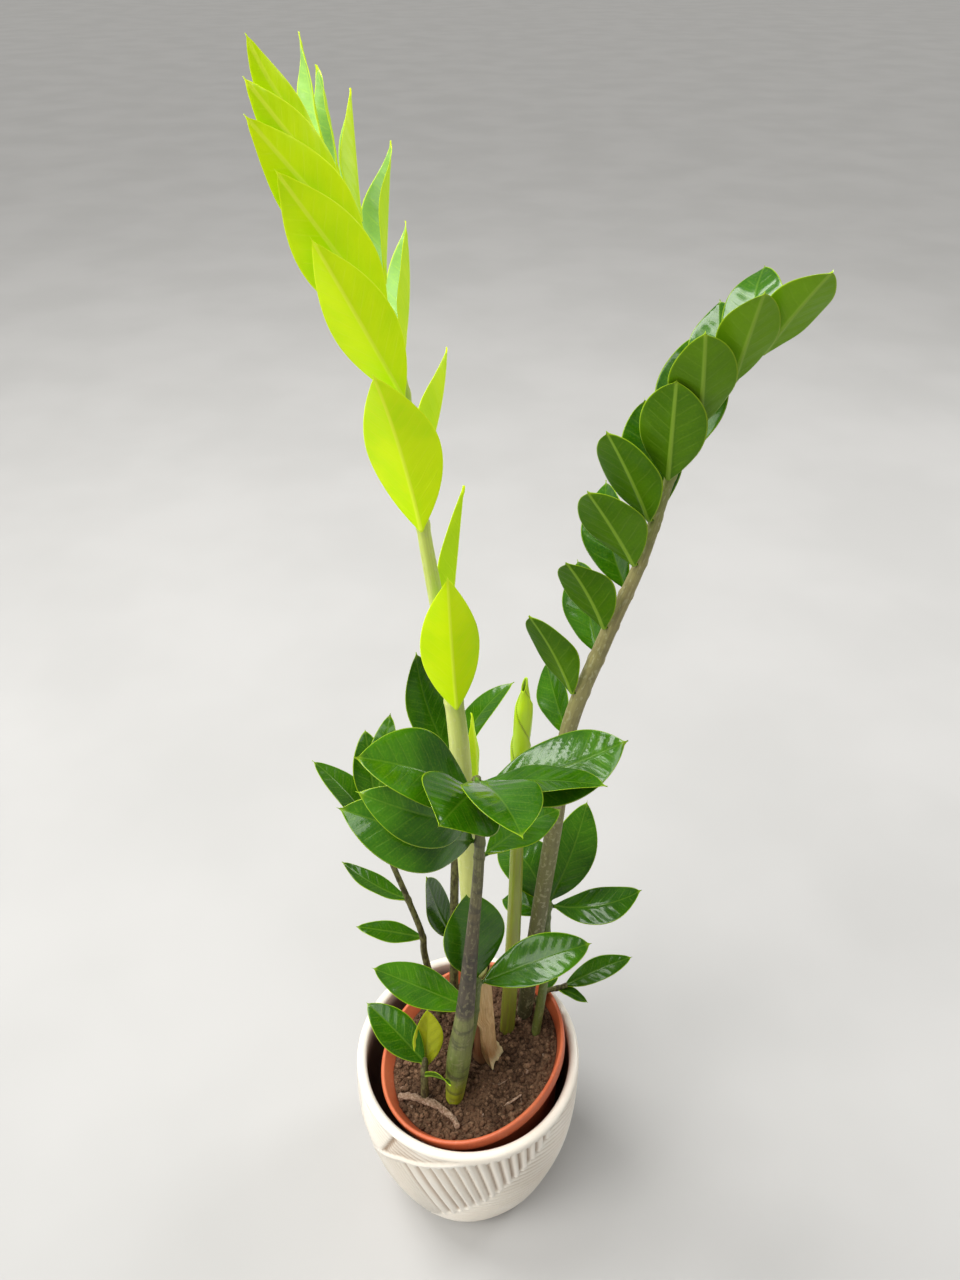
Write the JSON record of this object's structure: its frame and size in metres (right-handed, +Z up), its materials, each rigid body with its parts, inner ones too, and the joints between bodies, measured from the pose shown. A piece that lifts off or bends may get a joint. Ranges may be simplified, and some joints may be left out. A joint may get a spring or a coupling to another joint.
{
  "type": "potted zz plant",
  "caption": "ZZ plant with glossy feather-like shoots of thick leaflets, in a thin plastic nursery pot that sits askew inside a glazed cachepot with a leaf relief.",
  "frame": {"origin": "centre of the cachepot's underside, on the surface that it stands on", "axes": "+Z up, -Y towards the plant's front, +X to the right of someone who looks at the front"},
  "size_m": [0.2121, 0.1511, 0.6769],
  "materials": {
    "cream_glaze": "gloss",
    "terracotta_plastic": "satin",
    "potting_soil": "matte",
    "young_leaf": "satin",
    "young_stalk": "satin",
    "mature_leaf": "gloss",
    "green_stalk": "satin",
    "mature_stalk": "satin",
    "papery_sheath": "matte"
  },
  "bodies": {
    "root": {"cachepot": "cream_glaze", "nursery_pot": "terracotta_plastic", "soil": "potting_soil", "back_shoot": "mature_leaf", "edge_shoot": "mature_leaf", "front_leaflet_01": "mature_leaf", "front_leaflet_02": "mature_leaf", "front_leaflet_03": "mature_leaf", "front_leaflet_04": "mature_leaf", "front_leaflet_05": "mature_leaf", "front_leaflet_06": "mature_leaf", "front_leaflet_07": "mature_leaf", "front_leaflet_08": "mature_leaf", "front_stalk": "green_stalk", "left_shoot": "mature_leaf", "lime_leaflet_01": "young_leaf", "lime_leaflet_02": "young_leaf", "lime_leaflet_03": "young_leaf", "lime_leaflet_04": "young_leaf", "lime_leaflet_05": "young_leaf", "lime_leaflet_06": "young_leaf", "lime_leaflet_07": "young_leaf", "lime_leaflet_08": "young_leaf", "lime_leaflet_09": "young_leaf", "lime_leaflet_10": "young_leaf", "lime_leaflet_11": "young_leaf", "lime_leaflet_12": "young_leaf", "lime_leaflet_13": "young_leaf", "lime_leaflet_14": "young_leaf", "lime_leaflet_15": "young_leaf", "lime_sheath": "papery_sheath", "lime_stalk": "young_stalk", "low_left_shoot": "mature_leaf", "low_right_leaflet_01": "mature_leaf", "low_right_leaflet_02": "mature_leaf", "low_right_leaflet_03": "mature_leaf", "low_right_leaflet_04": "mature_leaf", "low_right_stalk": "green_stalk", "middle_leaflet_01": "mature_leaf", "middle_leaflet_02": "mature_leaf", "middle_leaflet_03": "mature_leaf", "middle_stalk": "green_stalk", "right_leaflet_01": "mature_leaf", "right_leaflet_02": "mature_leaf", "right_leaflet_03": "mature_leaf", "right_leaflet_04": "mature_leaf", "right_leaflet_05": "mature_leaf", "right_leaflet_06": "mature_leaf", "right_leaflet_07": "mature_leaf", "right_leaflet_08": "mature_leaf", "right_leaflet_09": "mature_leaf", "right_leaflet_10": "mature_leaf", "right_leaflet_11": "mature_leaf", "right_leaflet_12": "mature_leaf", "right_leaflet_13": "mature_leaf", "right_leaflet_14": "mature_leaf", "right_leaflet_15": "mature_leaf", "right_stalk": "mature_stalk", "spear_shoot": "young_leaf"}
  },
  "joints": []
}
